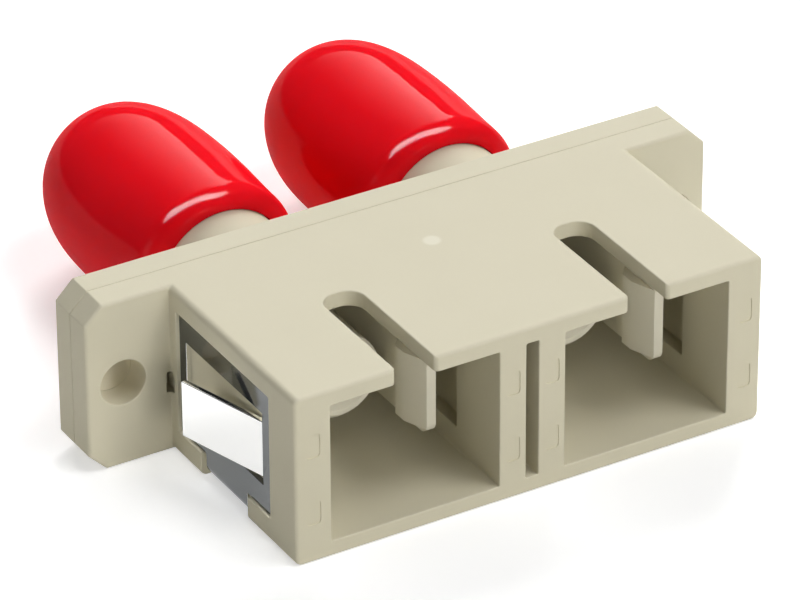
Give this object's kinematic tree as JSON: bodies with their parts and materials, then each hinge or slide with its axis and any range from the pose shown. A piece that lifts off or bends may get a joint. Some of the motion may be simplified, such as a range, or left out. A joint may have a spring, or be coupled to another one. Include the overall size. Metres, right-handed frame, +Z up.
{
  "type": "duplex fibre adapter",
  "caption": "Panel-mount fibre coupling body: square push-pull sockets in front, capped bayonet barrels behind, screw flange and spring clip between.",
  "frame": {"origin": "middle of the two screw holes, on the front face of the flange, which meets the panel", "axes": "+X along the flange, +Y from the square sockets to the bayonet barrels, +Z up, on the key slots' side"},
  "size_m": [0.0346, 0.0324, 0.0092],
  "materials": {
    "housing_plastic": "moulded beige engineering plastic, fine satin surface",
    "latch_plastic": "moulded natural plastic, a little paler than the housing",
    "sleeve_ceramic": "ground white zirconia",
    "spring_steel": "bright rolled stainless spring steel",
    "cap_red": "smooth glossy red vinyl"
  },
  "bodies": {
    "adapter": {"front_housing": "housing_plastic", "rear_housing": "housing_plastic", "panel_clip": "spring_steel", "latch_insert_left": "latch_plastic", "latch_insert_right": "latch_plastic", "alignment_sleeve_left": "sleeve_ceramic", "alignment_sleeve_right": "sleeve_ceramic"},
    "cap_left": {"dust_cap_left": "cap_red"},
    "cap_right": {"dust_cap_right": "cap_red"}
  },
  "joints": [
    {"name": "cap_left_pull", "type": "slide", "parent": "adapter", "child": "cap_left", "axis": [0, 1, 0], "range_m": [0, 0.03]},
    {"name": "cap_right_pull", "type": "slide", "parent": "adapter", "child": "cap_right", "axis": [0, 1, 0], "range_m": [0, 0.03]}
  ]
}
